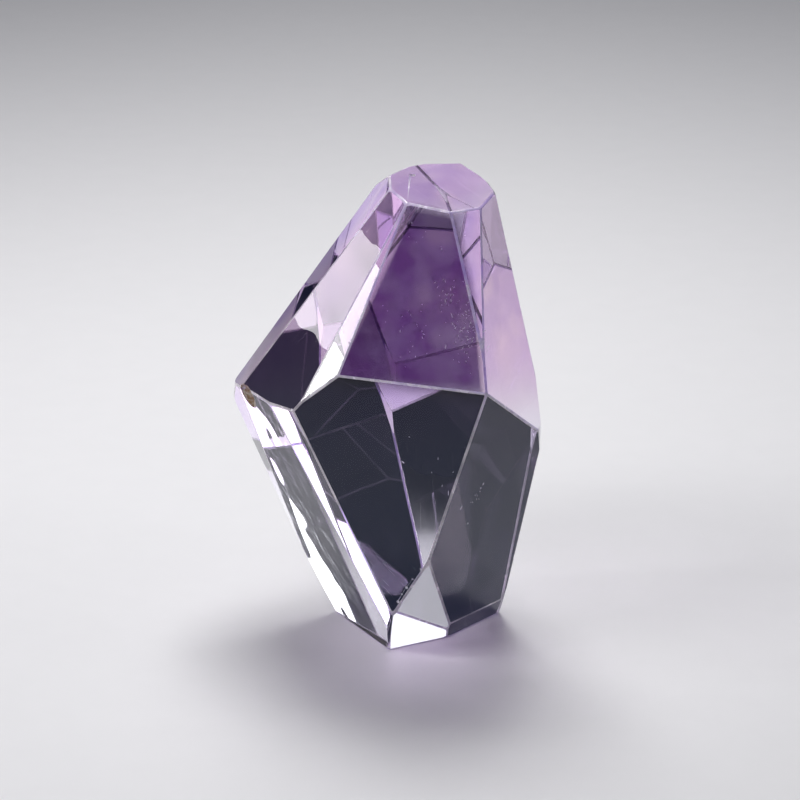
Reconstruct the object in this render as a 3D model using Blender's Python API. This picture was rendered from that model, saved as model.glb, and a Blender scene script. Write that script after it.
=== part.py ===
"""A clear quartz freeform, cut and polished flat on every side, standing on its foot facet."""
import math

import bmesh
import bpy
from mathutils import Matrix, Vector

MM = 0.001

# Corners that fix the stone's size, in millimetres from the front corner of its foot.
# X runs right, Y runs back and Z runs up, so the stone looks towards -Y.
FOOT_CORNER = Vector((0.0, 0.0, 0.0))
FOOT_BEND = Vector((6.1, 3.4, 0.0))
TOE_TIP = Vector((3.9, -6.0, 12.1))
BELT_FRONT = Vector((9.3, -9.5, 30.6))
BELT_LEFT = Vector((-4.8, -4.4, 30.6))
STRIP_TOP = Vector((-9.6, -1.9, 26.3))
LEFT_EDGE_UPPER = Vector((-12.5, 6.2, 28.9))
LEFT_EDGE_LOWER = Vector((-13.8, 8.5, 21.3))
LEFT_POINT = Vector((-15.9, 13.2, 22.9))
RIGHT_EDGE_UPPER = Vector((13.8, 4.3, 29.1))
RIGHT_EDGE_LOWER = Vector((15.2, 1.6, 22.4))
TABLE_FRONT = Vector((6.9, -3.0, 46.3))
TABLE_LEFT = Vector((1.8, -1.1, 46.8))
TABLE_BACK = Vector((7.5, 9.2, 47.6))
RIM_LEFT = Vector((0.9, 6.8, 47.7))
RIM_BACK_LEFT = Vector((2.6, 8.6, 47.8))
RIM_BACK = Vector((5.1, 9.5, 47.7))
SLIVER_END = Vector((9.1, -7.1, 35.7))
BACK_POINT = Vector((1.0, 23.0, 19.0))

# Each facet: the way it faces round the stone in degrees, from the front towards the right,
# its lean in degrees, upwards when above zero, and a corner that lies on it.
FACETS = {
    "foot": (0, -90, FOOT_CORNER),
    "table": (30, 83, TABLE_FRONT),
    "front_upper": (-20, 18.5, BELT_FRONT),
    "front_lower": (-20, -4.5, BELT_FRONT),
    "right_upper": (70, 12, BELT_FRONT),
    "right_lower": (49, -19, BELT_FRONT),
    "sliver": (28, 27, SLIVER_END),
    "lens": (-45, 23.5, BELT_LEFT),
    "left_upper": (-60, 26.5, TABLE_LEFT),
    "left_lower": (-60, -20.2, FOOT_CORNER),
    "strip": (-54, -18, STRIP_TOP),
    "toe": (33, -28, TOE_TIP),
    "foot_side": (28, -34, FOOT_CORNER),
    "foot_side_right": (49, -27, FOOT_BEND),
    "outer_left_upper": (-84, 33.5, LEFT_EDGE_UPPER),
    "outer_left_lower": (-72, -20, LEFT_EDGE_LOWER),
    "back_right_upper": (104, 12, RIGHT_EDGE_UPPER),
    "back_right_lower": (114, -1, RIGHT_EDGE_LOWER),
    "back_left_upper": (-110, 34, LEFT_POINT),
    "back_upper": (120, 12, TABLE_BACK),
    "back_lower": (-150, -24, BACK_POINT),
    "rim_left": (-121, 55, RIM_LEFT),
    "rim_back_left": (-146, 50, RIM_BACK_LEFT),
    "rim_back": (-171, 45, RIM_BACK),
}

BLOCK_SIDE = 120.0

# Polished edges are rounded over a narrow width, and over a wider one near the two side points.
EDGE_WIDTH = 0.4
POINT_WIDTH = 1.6
POINT_REACH = 3.5
STEP_ANGLE = math.radians(14)
CORNER_SHARE = 0.35
MERGE_REACH = 0.004

# A small pit in the table, and a shell-shaped chip where the two left facets meet.
PIT_PLACE = Vector((2.3, 6.0, 47.5))
PIT_RADIUS = 0.34
PIT_LIFT = 0.12
CHIP_PLACE = Vector((-13.7, 5.6, 24.5))
CHIP_FACING = (-68, -3)
CHIP_RADIUS = 2.2
CHIP_DEPTH = 0.5


def facing(azimuth, lean):
    """Unit vector that a facet faces along."""
    turn = math.radians(azimuth)
    rise = math.radians(lean)
    return Vector((math.sin(turn) * math.cos(rise), -math.cos(turn) * math.cos(rise), math.sin(rise)))


def cut_facet(stone, corner, normal):
    """Grinds away what stands past one facet and closes the stone with a flat face."""
    everything = stone.verts[:] + stone.edges[:] + stone.faces[:]
    cut = bmesh.ops.bisect_plane(
        stone, geom=everything, dist=1e-5, plane_co=corner, plane_no=normal, clear_outer=True)
    rim = [item for item in cut["geom_cut"] if isinstance(item, bmesh.types.BMEdge)]
    if len(rim) > 2:
        bmesh.ops.contextual_create(stone, geom=rim)


def cut_stone():
    """The sharp-edged stone, in millimetres."""
    stone = bmesh.new()
    bmesh.ops.create_cube(stone, size=BLOCK_SIDE)
    for azimuth, lean, corner in FACETS.values():
        cut_facet(stone, corner, facing(azimuth, lean))
    bmesh.ops.recalc_face_normals(stone, faces=stone.faces[:])
    return stone


def edge_width_at(place):
    """Width of the rounding that the polish leaves at a place on the stone."""
    near_point = min((place - LEFT_POINT).length, (place - RIGHT_EDGE_LOWER).length)
    return POINT_WIDTH if near_point < POINT_REACH else EDGE_WIDTH


def rounding(first, second, width):
    """Centre of the rounding below an edge, as a step inwards, and its radius."""
    half_angle = first.angle(second) / 2
    radius = width / (2 * math.tan(half_angle))
    return (first + second) * (radius / (1 + first.dot(second))), radius


def edge_planes(edge):
    """Narrow planes that roll round one edge, as (point, normal)."""
    middle = (edge.verts[0].co + edge.verts[1].co) / 2
    first, second = (face.normal.copy() for face in edge.link_faces)
    inward, radius = rounding(first, second, edge_width_at(middle))
    steps = max(2, round(first.angle(second) / STEP_ANGLE))
    planes = []
    for step in range(1, steps + 1):
        normal = first.slerp(second, step / (steps + 1))
        planes.append((middle - inward + normal * radius, normal))
    return planes


def corner_plane(corner):
    """Plane that eases one corner, as (point, normal)."""
    normals = [face.normal.copy() for face in corner.link_faces]
    normal = sum(normals, Vector()).normalized()
    sharpest = max(normal.angle(other) for other in normals)
    depth = edge_width_at(corner.co) * CORNER_SHARE * math.tan(sharpest)
    return corner.co - normal * depth, normal


def ease_edges(stone):
    """Rounds every edge and corner with narrow facets."""
    planes = []
    for edge in stone.edges:
        planes += edge_planes(edge)
    for corner in stone.verts:
        planes.append(corner_plane(corner))
    for point, normal in planes:
        cut_facet(stone, point, normal)
    bmesh.ops.remove_doubles(stone, verts=stone.verts[:], dist=MERGE_REACH)
    bmesh.ops.recalc_face_normals(stone, faces=stone.faces[:])


def clear_scene():
    """Removes whatever the file opened with."""
    for thing in list(bpy.data.objects):
        bpy.data.objects.remove(thing, do_unlink=True)


def stand_on_origin(stone):
    """Puts the origin under the middle of the stone's box and returns the step, in millimetres."""
    low = Vector([min(corner.co[axis] for corner in stone.verts) for axis in range(3)])
    high = Vector([max(corner.co[axis] for corner in stone.verts) for axis in range(3)])
    step = -Vector(((low.x + high.x) / 2, (low.y + high.y) / 2, low.z))
    stone.transform(Matrix.Translation(step))
    return step


def quartz():
    """Clear quartz with a faint lavender cast."""
    material = bpy.data.materials.new("lavender_quartz")
    material.use_nodes = True
    surface = material.node_tree.nodes["Principled BSDF"]
    surface.inputs["Base Color"].default_value = (0.74, 0.62, 0.82, 1.0)
    surface.inputs["Roughness"].default_value = 0.04
    surface.inputs["Metallic"].default_value = 0.0
    surface.inputs["IOR"].default_value = 1.544
    surface.inputs["Transmission Weight"].default_value = 1.0
    return material


def solid(name, shape):
    """An object in metres from a shape in millimetres."""
    shape.transform(Matrix.Scale(MM, 4))
    mesh = bpy.data.meshes.new(name)
    shape.to_mesh(mesh)
    shape.free()
    thing = bpy.data.objects.new(name, mesh)
    bpy.context.scene.collection.objects.link(thing)
    return thing


def hollow_out(crystal, name, place, radius):
    """Takes a ball-shaped bite out of the crystal."""
    ball = bmesh.new()
    bmesh.ops.create_icosphere(ball, subdivisions=3, radius=radius)
    ball.transform(Matrix.Translation(place))
    cutter = solid(name, ball)
    cutter.hide_render = True
    cutter.display_type = "WIRE"
    bite = crystal.modifiers.new(name, "BOOLEAN")
    bite.operation = "DIFFERENCE"
    bite.object = cutter


def main():
    clear_scene()
    stone = cut_stone()
    ease_edges(stone)
    step = stand_on_origin(stone)
    crystal = solid("crystal", stone)
    crystal.data.materials.append(quartz())
    table_up = facing(*FACETS["table"][:2])
    hollow_out(crystal, "pit_cutter", PIT_PLACE + step + table_up * PIT_LIFT, PIT_RADIUS)
    chip_out = facing(*CHIP_FACING)
    chip_centre = CHIP_PLACE + step + chip_out * (CHIP_RADIUS - CHIP_DEPTH)
    hollow_out(crystal, "chip_cutter", chip_centre, CHIP_RADIUS)


main()
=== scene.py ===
import math
import random

import bpy
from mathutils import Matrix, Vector


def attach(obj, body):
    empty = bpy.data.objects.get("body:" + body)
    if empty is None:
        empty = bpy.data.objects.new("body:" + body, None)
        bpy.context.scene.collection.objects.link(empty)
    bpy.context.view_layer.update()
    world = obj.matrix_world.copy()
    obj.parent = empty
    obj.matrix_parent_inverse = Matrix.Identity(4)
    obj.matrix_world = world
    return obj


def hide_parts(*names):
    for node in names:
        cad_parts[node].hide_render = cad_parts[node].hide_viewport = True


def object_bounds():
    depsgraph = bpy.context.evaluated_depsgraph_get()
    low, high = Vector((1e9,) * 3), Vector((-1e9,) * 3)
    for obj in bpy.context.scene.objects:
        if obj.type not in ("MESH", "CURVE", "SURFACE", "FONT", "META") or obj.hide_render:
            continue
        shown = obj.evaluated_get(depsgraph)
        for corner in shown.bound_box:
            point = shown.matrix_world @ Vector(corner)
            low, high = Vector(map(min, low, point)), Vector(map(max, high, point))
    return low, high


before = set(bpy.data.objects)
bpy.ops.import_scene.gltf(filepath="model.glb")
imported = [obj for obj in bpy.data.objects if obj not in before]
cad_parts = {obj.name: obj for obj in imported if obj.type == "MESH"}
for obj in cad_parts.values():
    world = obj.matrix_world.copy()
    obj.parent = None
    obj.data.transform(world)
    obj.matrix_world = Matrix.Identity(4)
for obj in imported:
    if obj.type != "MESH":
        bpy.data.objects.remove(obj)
cadLow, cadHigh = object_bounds()
mm = 0.001
# Places on the stone are in mm from the front corner of its foot, which lies this far inside the CAD box.
footInset = Vector((15.78, 9.40, 0.0))
footCorner = Vector(cadLow) / mm + footInset


def deselectAll():
    if bpy.context.object and bpy.context.object.mode != "OBJECT":
        bpy.ops.object.mode_set(mode="OBJECT")
    bpy.ops.object.select_all(action="DESELECT")


def pick(*things):
    deselectAll()
    for thing in things:
        thing.select_set(True)
    bpy.context.view_layer.objects.active = things[0]


def onStone(place):
    return (footCorner + Vector(place)) * mm


def facing(azimuth, lean):
    # azimuth 0 looks at the camera and grows to the right, lean grows upwards
    turn = math.radians(azimuth)
    rise = math.radians(lean)
    return Vector((math.sin(turn) * math.cos(rise), -math.cos(turn) * math.cos(rise), math.sin(rise)))


# Material nodes. An input goes by its socket's name or number, and takes a value or another node's output.
def setInputs(material, node, inputs):
    for name, value in inputs.items():
        if isinstance(value, bpy.types.NodeSocket):
            material.node_tree.links.new(value, node.inputs[name])
        else:
            node.inputs[name].default_value = value


def addNode(material, kind, inputs, **settings):
    node = material.node_tree.nodes.new(kind)
    for name, value in settings.items():
        setattr(node, name, value)
    setInputs(material, node, inputs)
    return node


def newMaterial(name):
    # gives the material, its surface shader, and the place on the object that its textures follow
    material = bpy.data.materials.new(name)
    material.use_nodes = True
    place = addNode(material, "ShaderNodeTexCoord", {}).outputs["Object"]
    return material, material.node_tree.nodes["Principled BSDF"], place


def noise(material, place, scale, detail, **more):
    inputs = {"Vector": place, "Scale": scale, "Detail": detail, **more}
    return addNode(material, "ShaderNodeTexNoise", inputs).outputs["Fac"]


def ramp(material, value, span, ends=(0.0, 1.0), **settings):
    # turns a value that runs over the span into one that runs from end to end
    inputs = {"Value": value, "From Min": span[0], "From Max": span[1], "To Min": ends[0], "To Max": ends[1]}
    return addNode(material, "ShaderNodeMapRange", inputs, **settings).outputs[0]


def multiplyAdd(material, value, factor, added):
    inputs = {0: value, 1: factor, 2: added}
    return addNode(material, "ShaderNodeMath", inputs, operation="MULTIPLY_ADD").outputs[0]


def mixed(material, amount, first, second):
    inputs = {0: amount, 6: first, 7: second}
    return addNode(material, "ShaderNodeMix", inputs, data_type="RGBA").outputs[2]


def bumped(material, height, bump):
    # bump is its strength and its height in m
    strength, distance = bump
    inputs = {"Height": height, "Strength": strength, "Distance": distance}
    return addNode(material, "ShaderNodeBump", inputs)


# Facets that smaller features lie on: the way each one faces, and a corner of it in mm.
facets = {
    "table": ((30, 83), (6.9, -3.0, 46.3)),
    "frontUpper": ((-20, 18.5), (9.3, -9.5, 30.6)),
    "frontLower": ((-20, -4.5), (9.3, -9.5, 30.6)),
    "rightUpper": ((70, 12), (9.3, -9.5, 30.6)),
    "rightLower": ((49, -19), (9.3, -9.5, 30.6)),
    "leftUpper": ((-60, 26.5), (1.8, -1.1, 46.8)),
}
# The stone's surfaces, in the order of its material slots.
polishedFacet, freshBreak, easedEdge, paintedReflectionBreak = range(4)
# Stone: the faceted solid, welded and shaded so that its eased edges roll and its facets stay flat.
stoneSettings = {
    "weldDistance": 2e-6,  # m
    "coplanarAngle": 0.25,  # degrees, triangles flatter than this go back to one facet
    "rollAngle": 26,  # degrees, edges softer than this shade as one rounding
    "easedWidth": 0.00032,  # m, faces thinner than this are eased edges
    "hollowShare": 0.04,  # a hollow's wall may stray by this share of its radius
    "hollowSlack": 0.02,  # mm, and by this much more
}
# Hollows that the solid already has, each the bite of a ball: place in mm, way it faces, how far outside
# the place the ball's centre lies and its radius in mm, and the surface it shows.
hollows = {
    "pit": ((2.3, 6.0, 47.5), facets["table"][0], 0.12, 0.34, freshBreak),
    "chip": ((-13.7, 5.6, 24.5), (-68, -3), 1.7, 2.2, paintedReflectionBreak),
}
# Nicks, small breaks along the edges: place in mm, way they face, width and depth in mm.
nicks = [
    ((0.9, -4.55, 7.2), (-30, -12), 0.42, 0.12),
    ((1.25, -4.75, 8.1), (-10, -12), 0.3, 0.09),
    ((1.7, -4.95, 8.9), (-10, -14), 0.36, 0.1),
    ((2.3, -5.25, 9.9), (-5, -14), 0.24, 0.08),
    ((3.1, -5.65, 11.1), (0, -14), 0.3, 0.09),
    ((14.5, 0.0, 23.7), (70, 0), 0.5, 0.14),
    ((14.1, 0.5, 21.6), (75, -14), 0.36, 0.1),
    ((13.3, 2.1, 16.6), (80, -12), 0.44, 0.12),
    ((-14.3, 6.6, 25.2), (-72, 10), 0.7, 0.2),
    ((-13.2, 5.2, 23.6), (-60, -12), 0.5, 0.14),
    ((-9.4, -2.15, 26.4), (-50, 4), 0.4, 0.1),
    ((-0.1, -0.02, 0.55), (-20, -40), 0.4, 0.1),
    ((5.0, -2.25, 46.45), (-10, 50), 0.3, 0.07),
]
nickSettings = {
    "seed": 11,
    "unevenness": 0.05,  # share of its radius by which a nick's ball is uneven
}


def makeStone():
    pick(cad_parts["crystal"])
    bpy.ops.object.duplicate()
    stone = bpy.context.object
    stone.name = stone.data.name = "stone"
    for tag in [name for name in stone.keys() if name.startswith("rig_")]:
        del stone[tag]
    stone.parent = None
    stone.data.materials.clear()
    bpy.ops.object.mode_set(mode="EDIT")
    bpy.ops.mesh.select_all(action="SELECT")
    bpy.ops.mesh.remove_doubles(threshold=stoneSettings["weldDistance"])
    bpy.ops.mesh.normals_make_consistent(inside=False)
    bpy.ops.mesh.dissolve_limited(angle_limit=math.radians(stoneSettings["coplanarAngle"]))
    bpy.ops.object.mode_set(mode="OBJECT")
    return stone


def nickBall(rng, place, out, width, depth):
    # an uneven ball that bites a nick of this width and depth
    radius = (width * width / 4 + depth * depth) / (2 * depth)
    centre = onStone(place) + out * (radius - depth) * mm
    deselectAll()
    bpy.ops.mesh.primitive_ico_sphere_add(subdivisions=3, radius=radius * mm, location=centre)
    ball = bpy.context.object
    bpy.ops.object.mode_set(mode="EDIT")
    bpy.ops.mesh.select_all(action="SELECT")
    offset = radius * nickSettings["unevenness"] * mm
    bpy.ops.transform.vertex_random(offset=offset, seed=rng.randrange(1000))
    bpy.ops.object.mode_set(mode="OBJECT")
    return ball


def cutNicks(stone):
    # all the balls are joined to one cutter
    rng = random.Random(nickSettings["seed"])
    balls = [nickBall(rng, place, facing(*way), width, depth) for place, way, width, depth in nicks]
    pick(*balls)
    bpy.ops.object.join()
    cutter = bpy.context.object
    for material in stone.data.materials:
        cutter.data.materials.append(material)
    for face in cutter.data.polygons:
        face.material_index = freshBreak
    pick(stone)
    cut = stone.modifiers.new("nicks", "BOOLEAN")
    cut.operation = "DIFFERENCE"
    cut.solver = "EXACT"
    cut.object = cutter
    cut.use_self = True
    bpy.ops.object.modifier_apply(modifier=cut.name)
    bpy.data.objects.remove(cutter, do_unlink=True)


def widthOf(stone, face):
    corners = stone.data.vertices
    rim = sum((corners[first].co - corners[second].co).length for first, second in face.edge_keys)
    return 2 * face.area / rim


def liesOn(face, place, way, lift, radius):
    # whether a face is on the wall of a hollow
    centre = onStone(Vector(place) + facing(*way) * lift)
    stray = abs((face.center - centre).length / mm - radius)
    return stray < stoneSettings["hollowShare"] * radius + stoneSettings["hollowSlack"]


def markSurfaces(stone):
    # wide faces are facets or nicks already
    for face in stone.data.polygons:
        if widthOf(stone, face) >= stoneSettings["easedWidth"]:
            continue
        if face.material_index == polishedFacet:
            face.material_index = easedEdge
        for place, way, lift, radius, surfaceIndex in hollows.values():
            if liesOn(face, place, way, lift, radius):
                face.material_index = surfaceIndex


def shadeStone(stone):
    pick(stone)
    bpy.ops.object.shade_smooth_by_angle(angle=math.radians(stoneSettings["rollAngle"]))
    weigh = stone.modifiers.new("facetsFlat", "WEIGHTED_NORMAL")
    weigh.mode = "FACE_AREA"
    weigh.weight = 100
    weigh.keep_sharp = True
    bpy.ops.object.modifier_apply(modifier=weigh.name)


quartz = {
    "clear": (0.955, 0.96, 0.985, 1),
    "lavender": (0.74, 0.57, 0.86, 1),
    "deepLavender": (0.60, 0.43, 0.76, 1),
    "rose": (0.93, 0.74, 0.86, 1),
    # painted light and shade under single facets: painted shade under the front facet, painted light under
    # the left, right and table facets; each gives the painted tint close under the facet, and how patchy it
    # is
    "facetLightAndShade": {
        "frontUpper": ((0.040, 0.010, 0.066, 1), 0.07),
        "leftUpper": ((1.0, 0.68, 0.88, 1), 0.20),
        "rightUpper": ((0.97, 0.72, 0.84, 1), 0.15),
        "table": ((1.0, 0.82, 0.97, 1), 0.75),
    },
    "facetPaintDepth": (-0.7, -0.05),  # mm, from where the painted light and shade under a facet start to where they are full
    "zoneHeight": (0.0205, 0.0285),  # m, where the colour starts and where it is full, at the middle
    "zoneTilt": 0.30,  # the colour starts this much lower for each m further back
    "zoneWander": 0.004,  # m, how far that level wanders
    "wanderScale": 90.0,
    "cloudScale": 230.0,
    "blushScale": 120.0,
    "ior": 1.544,
    "absorbColour": (0.80, 0.72, 0.93, 1),
    "absorbDensity": 12.0,
}
# A bump is its strength and its height in m.
polish = {
    "roughness": (0.0, 0.012),
    "smearScale": 320.0,
    "swellScale": 120.0,
    "swellBump": (0.035, 0.0005),
    "scratchTurn": (0.5, 0.2, 0.7),  # radians
    "scratchScale": (220.0, 9000.0, 220.0),
    "scratchBump": (0.03, 0.00004),
}
breakage = {
    "roughness": (0.2, 0.6),
    "grainScale": 2600.0,
    "rippleScale": 900.0,
    "rippleBump": (0.5, 0.0001),
    "freshTransmission": 0.25,
    "freshTint": (1.0, 0.96, 0.99, 1),
    "freshPaling": 0.8,  # share of the fresh tint
    "paintedReflectionTransmission": 0.45,
    "reflectionPatchScale": 1500.0,
    "paintedReflectionTints": ((0.90, 0.82, 0.66, 1), (0.34, 0.19, 0.07, 1)),  # weak and strong painted reflection
}
# Where the edges are rubbed least and most. The whiter, less see-through patches are partly real wear and
# partly a painted highlight standing in for glints on the edges.
edgeWearAndGlint = {
    "rubAndGlintScale": 420.0,
    "transmission": (0.65, 0.15),
    "roughness": (0.04, 0.34),
    "chalkAndGlintTint": (1.0, 0.94, 0.98, 1),
    "chalkAndGlintShare": (0.75, 1.0),
    "bump": (0.25, 0.00005),
}


def paintFacetLightAndShade(material, place, cloud, colour, facet):
    # paints shade (front facet) or light (left, right and table facets) into the colour close under the
    # plane of one facet, less where the cloud texture is dark
    way, corner = facets[facet]
    tint, patchy = quartz["facetLightAndShade"][facet]
    out = facing(*way)
    span = [onStone(corner).dot(out) + depth * mm for depth in quartz["facetPaintDepth"]]
    along = addNode(material, "ShaderNodeVectorMath", {0: place, 1: out}, operation="DOT_PRODUCT")
    near = ramp(material, along.outputs["Value"], span)
    patch = ramp(material, cloud, span=(0.35, 0.6), ends=(1.0 - patchy, 1.0))
    amount = addNode(material, "ShaderNodeMath", {0: near, 1: patch}, operation="MULTIPLY")
    return mixed(material, amount.outputs[0], colour, tint)


def colourZonesAndPaintedFacetLight(material, place):
    # lavender above a tilted, slowly wandering level, mottled deeper and rosier inside, clear below; on top,
    # painted shade under the front facet and painted light under the left, right and table facets
    axes = addNode(material, "ShaderNodeSeparateXYZ", {"Vector": place}).outputs
    tilted = multiplyAdd(material, axes["Y"], quartz["zoneTilt"], axes["Z"])
    wander = noise(material, place, quartz["wanderScale"], detail=3.0)
    level = multiplyAdd(material, wander, quartz["zoneWander"], tilted)
    zone = ramp(material, level, quartz["zoneHeight"], interpolation_type="SMOOTHSTEP")
    cloud = noise(material, place, quartz["cloudScale"], detail=5.0, Roughness=0.6)
    deep = ramp(material, cloud, span=(0.38, 0.62))
    blush = noise(material, place, quartz["blushScale"], detail=2.0, Distortion=0.6)
    rosy = ramp(material, blush, span=(0.5, 0.68))
    lavender = mixed(material, deep, quartz["lavender"], quartz["deepLavender"])
    colour = mixed(material, rosy, lavender, quartz["rose"])
    for facet in quartz["facetLightAndShade"]:
        colour = paintFacetLightAndShade(material, place, cloud, colour, facet)
    return mixed(material, zone, quartz["clear"], colour)


def quartzMaterial(name, transmission):
    # see-through stone that absorbs a little light on the way
    material, surface, place = newMaterial(name)
    setInputs(material, surface, {"Transmission Weight": transmission, "IOR": quartz["ior"]})
    inputs = {"Color": quartz["absorbColour"], "Density": quartz["absorbDensity"]}
    volume = addNode(material, "ShaderNodeVolumeAbsorption", inputs)
    setInputs(material, material.node_tree.nodes["Material Output"], {"Volume": volume.outputs[0]})
    return material, surface, place


def makePolished():
    # slow smears, a swell left by hand polishing, and hairline scratches along one lapping direction
    material, surface, place = quartzMaterial("polishedQuartz", transmission=1.0)
    smear = noise(material, place, polish["smearScale"], detail=5.0)
    swell = noise(material, place, polish["swellScale"], detail=1.0)
    swellBump = bumped(material, swell, polish["swellBump"])
    inputs = {"Vector": place, "Rotation": polish["scratchTurn"], "Scale": polish["scratchScale"]}
    stretched = addNode(material, "ShaderNodeMapping", inputs).outputs[0]
    scratch = noise(material, stretched, scale=1.0, detail=2.0)
    hairlines = bumped(material, ramp(material, scratch, span=(0.68, 0.78)), polish["scratchBump"])
    hairlines.invert = True
    setInputs(material, hairlines, {"Normal": swellBump.outputs[0]})
    setInputs(material, surface, {
        "Base Color": colourZonesAndPaintedFacetLight(material, place),
        "Roughness": ramp(material, smear, span=(0.45, 0.75), ends=polish["roughness"]),
        "Normal": hairlines.outputs[0],
    })
    return material


def breakMaterial(name, transmission):
    # shell-shaped break with a grain and fine ripples
    material, surface, place = quartzMaterial(name, transmission)
    grain = noise(material, place, breakage["grainScale"], detail=4.0)
    inputs = {"Vector": place, "Scale": breakage["rippleScale"], "Distortion": 3.0, "Detail": 3.0}
    ripple = addNode(material, "ShaderNodeTexWave", inputs, wave_type="RINGS")
    setInputs(material, surface, {
        "Roughness": ramp(material, grain, span=(0.3, 0.7), ends=breakage["roughness"]),
        "Normal": bumped(material, ripple.outputs["Fac"], breakage["rippleBump"]).outputs[0],
    })
    return material, surface, place


def makeBroken():
    # a fresh break is paler than the stone round it
    material, surface, place = breakMaterial("brokenQuartz", breakage["freshTransmission"])
    colour = colourZonesAndPaintedFacetLight(material, place)
    paled = mixed(material, breakage["freshPaling"], colour, breakage["freshTint"])
    setInputs(material, surface, {"Base Color": paled})
    return material


def makePaintedReflectionBreak():
    # the chip on the left point is painted golden-brown in patches, a painted reflection
    material, surface, place = breakMaterial("paintedReflectionBreak", breakage["paintedReflectionTransmission"])
    reflectionPatch = noise(material, place, breakage["reflectionPatchScale"], detail=4.0, Distortion=1.2)
    reflectionStrength = ramp(material, reflectionPatch, span=(0.36, 0.6))
    setInputs(material, surface, {"Base Color": mixed(material, reflectionStrength, *breakage["paintedReflectionTints"])})
    return material


def makeEased():
    # edges rubbed to a fine satin by polishing and handling, in patches; their chalky white is partly real
    # wear and partly a painted highlight in place of edge glints
    material, surface, place = quartzMaterial("easedEdge", transmission=1.0)
    rubAndGlint = noise(material, place, edgeWearAndGlint["rubAndGlintScale"], detail=3.0)
    chalkAndGlint = ramp(material, rubAndGlint, span=(0.35, 0.6), ends=edgeWearAndGlint["chalkAndGlintShare"])
    setInputs(material, surface, {
        "Base Color": mixed(material, chalkAndGlint, colourZonesAndPaintedFacetLight(material, place), edgeWearAndGlint["chalkAndGlintTint"]),
        "Transmission Weight": ramp(material, rubAndGlint, span=(0.3, 0.7), ends=edgeWearAndGlint["transmission"]),
        "Roughness": ramp(material, rubAndGlint, span=(0.38, 0.66), ends=edgeWearAndGlint["roughness"]),
        "Normal": bumped(material, rubAndGlint, edgeWearAndGlint["bump"]).outputs[0],
    })
    return material


stone = makeStone()
for material in (makePolished(), makeBroken(), makeEased(), makePaintedReflectionBreak()):
    stone.data.materials.append(material)
cutNicks(stone)
markSurfaces(stone)
shadeStone(stone)
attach(stone, "root")
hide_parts("crystal")
print("stone made:", len(stone.data.polygons), "faces")


# Flecks: tiny healed cracks and specks, half sunk in the planes of the facets.
# Each group: its facet, two ends of the line it follows in mm, spread in mm, and how many.
# 17 of the flecks land past the edge of their facet and hang up to 2.4 mm off the stone.
fleckGroups = [
    ("frontUpper", (5.6, -5.0, 40.0), (8.3, -7.9, 33.6), 0.8, 110),
    ("frontUpper", (1.5, -4.5, 37.0), (5.0, -7.0, 33.0), 1.8, 30),
    ("frontLower", (4.0, -8.0, 26.0), (7.0, -8.0, 16.0), 1.8, 16),
    ("rightLower", (9.3, -5.0, 17.0), (10.2, -4.2, 18.6), 0.25, 9),
    ("frontUpper", (0.5, -3.6, 44.6), (6.0, -4.5, 44.6), 0.7, 10),
]
fleckSettings = {
    "seed": 5,
    "halfWidth": (0.026, 0.075),  # mm
    "depth": (-0.01, 0.02),  # mm, from the facet down to the fleck's middle
    "stretch": (0.8, 5.0),  # half length, for a half width of 1
    "flatness": (0.6, 0.4),  # the two other half sizes, for a half width of 1
    "turn": (0, 3),  # radians
    "tones": ((0.80, 0.74, 0.88, 1), (1.0, 0.98, 1.0, 1)),
    "toneScale": 4000.0,
    "roughness": (0.3, 0.6),
}


def makeFleckMaterial():
    material, surface, place = newMaterial("healedCrack")
    shade = noise(material, place, fleckSettings["toneScale"], detail=2.0)
    setInputs(material, surface, {
        "Base Color": mixed(material, shade, *fleckSettings["tones"]),
        "Roughness": ramp(material, shade, span=(0.3, 0.7), ends=fleckSettings["roughness"]),
    })
    return material


def addFleck(pattern, rng, facet, start, end, spread):
    # a splinter somewhere along the group's line, moved on to the facet's plane
    way, corner = facets[facet]
    out = facing(*way)
    place = Vector(start).lerp(Vector(end), rng.random())
    place += Vector([rng.gauss(0, spread) for axis in range(3)])
    under = (place - Vector(corner)).dot(out) + rng.uniform(*fleckSettings["depth"])
    fleck = pattern.copy()
    fleck.data = pattern.data.copy()
    bpy.context.scene.collection.objects.link(fleck)
    fleck.location = onStone(place - out * under)
    fleck.rotation_euler = [rng.uniform(*fleckSettings["turn"]) for axis in range(3)]
    half = rng.uniform(*fleckSettings["halfWidth"])
    length = half * rng.uniform(*fleckSettings["stretch"])
    fleck.scale = (length, *(half * flat for flat in fleckSettings["flatness"]))
    return fleck


def makeFlecks():
    rng = random.Random(fleckSettings["seed"])
    deselectAll()
    bpy.ops.mesh.primitive_ico_sphere_add(subdivisions=1, radius=mm)
    pattern = bpy.context.object
    parts = []
    for facet, start, end, spread, count in fleckGroups:
        for number in range(count):
            parts.append(addFleck(pattern, rng, facet, start, end, spread))
    bpy.data.objects.remove(pattern, do_unlink=True)
    pick(*parts)
    bpy.ops.object.join()
    flecks = bpy.context.object
    bpy.ops.object.transform_apply(location=True, rotation=True, scale=True)
    flecks.name = flecks.data.name = "flecks"
    flecks.data.materials.append(makeFleckMaterial())
    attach(flecks, "root")


makeFlecks()
print("flecks made")


floorSettings = {
    "size": 3.0,  # m
    "colour": (0.80, 0.79, 0.80),
    "shade": 0.97,  # how light its darker fibres are
    "fibreScale": 260.0,
    "roughness": 0.55,
}


def makeFloor():
    deselectAll()
    bpy.ops.mesh.primitive_plane_add(size=floorSettings["size"])
    floor = bpy.context.object
    floor.name = "floor"
    material, surface, place = newMaterial("paleFloor")
    fibre = noise(material, place, floorSettings["fibreScale"], detail=4.0)
    light = (*floorSettings["colour"], 1)
    dark = (*(part * floorSettings["shade"] for part in floorSettings["colour"]), 1)
    tone = mixed(material, fibre, dark, light)
    setInputs(material, surface, {"Base Color": tone, "Roughness": floorSettings["roughness"]})
    floor.data.materials.append(material)


makeFloor()
print("floor made")


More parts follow.
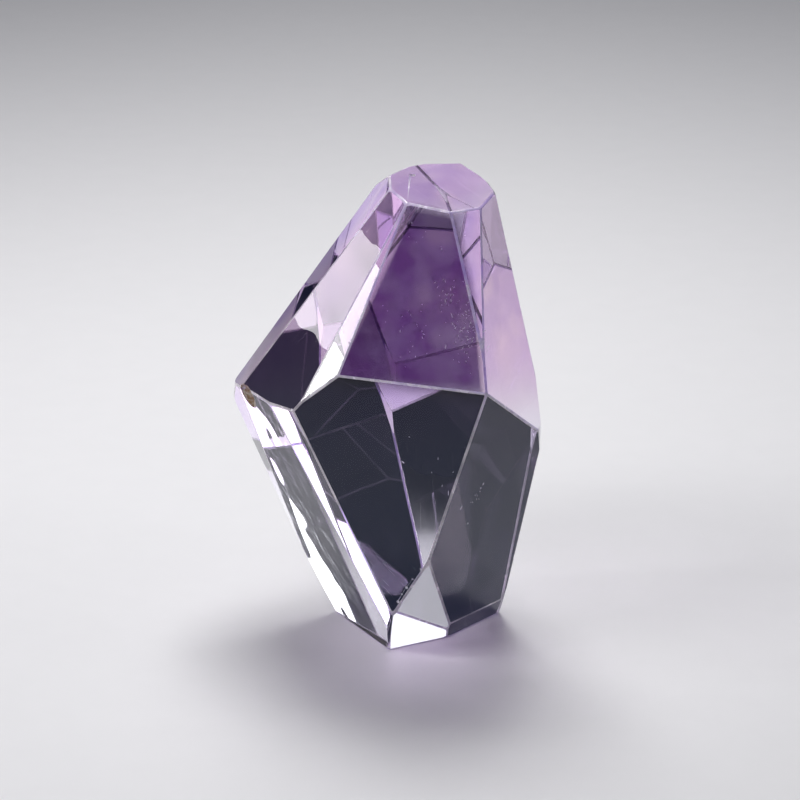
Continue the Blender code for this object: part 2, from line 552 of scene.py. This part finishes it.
# Soft studio light. Each panel: way round the stone and height above the horizon in degrees,
# distance, width and height in m, and power in watts.
lights = {
    "overhead": (188, 66, 0.20, 0.10, 0.10, 0.18),
    "backWash": (178, 62, 0.36, 0.22, 0.16, 0.50),
    "behindLow": (179, 11.5, 0.42, 0.09, 0.05, 0.0062),
    "behindHigh": (179, 20.3, 0.42, 0.09, 0.07, 0.022),
    "left": (-89, 12.5, 0.32, 0.05, 0.044, 0.14),
    "leftRear": (-89, 18, 0.32, 0.05, 0.018, 0.025),
    "leftSheen": (-116.2, 13.1, 0.34, 0.026, 0.022, 0.008),
    "right": (88, 22, 0.36, 0.20, 0.07, 0.045),
    "rightTop": (76.9, 33.1, 0.341, 0.0525, 0.078, 0.028),
    "frontTop": (-24, 58, 0.36, 0.08, 0.08, 0.05),
    "frontLeft": (-56, 44, 0.34, 0.12, 0.10, 0.22),
    "frontRight": (40, 12, 0.60, 0.30, 0.18, 0.010),
}
stoneMiddle = Vector((0, 0, 0.022))
worldColour = (0.008, 0.012, 0.028, 1)
cameraSettings = {
    "place": (1.10, -304.38, 137.36),  # mm
    "pitch": 70,  # degrees, 90 looks level
    "lens": 150,  # mm
    "sensor": 36,  # mm
    "clip": (0.01, 10),  # m
}
viewSettings = {
    "transform": "Standard",
    "look": "Medium High Contrast",
    "bounces": 20,
    "glossyBounces": 12,
}


def makeLights():
    for name, (azimuth, height, distance, width, tall, power) in lights.items():
        data = bpy.data.lights.new(name, "AREA")
        data.shape = "RECTANGLE"
        data.size = width
        data.size_y = tall
        data.energy = power
        light = bpy.data.objects.new(name, data)
        bpy.context.scene.collection.objects.link(light)
        light.location = stoneMiddle + facing(azimuth, height) * distance
        light.rotation_euler = (stoneMiddle - light.location).to_track_quat("-Z", "Y").to_euler()


def makeWorld():
    world = bpy.data.worlds.new("studio")
    bpy.context.scene.world = world
    world.use_nodes = True
    world.node_tree.nodes["Background"].inputs["Color"].default_value = worldColour


def makeCamera():
    data = bpy.data.cameras.new("camera")
    data.lens = cameraSettings["lens"]
    data.sensor_width = cameraSettings["sensor"]
    data.clip_start, data.clip_end = cameraSettings["clip"]
    camera = bpy.data.objects.new("camera", data)
    bpy.context.scene.collection.objects.link(camera)
    camera.location = onStone(cameraSettings["place"])
    camera.rotation_euler = (math.radians(cameraSettings["pitch"]), 0, 0)
    bpy.context.scene.camera = camera


def setView():
    scene = bpy.context.scene
    scene.view_settings.view_transform = viewSettings["transform"]
    scene.view_settings.look = viewSettings["look"]
    scene.cycles.max_bounces = viewSettings["bounces"]
    scene.cycles.transmission_bounces = viewSettings["bounces"]
    scene.cycles.glossy_bounces = viewSettings["glossyBounces"]
    scene.cycles.use_denoising = True


makeLights()
makeWorld()
makeCamera()
setView()
print("lights and camera set")
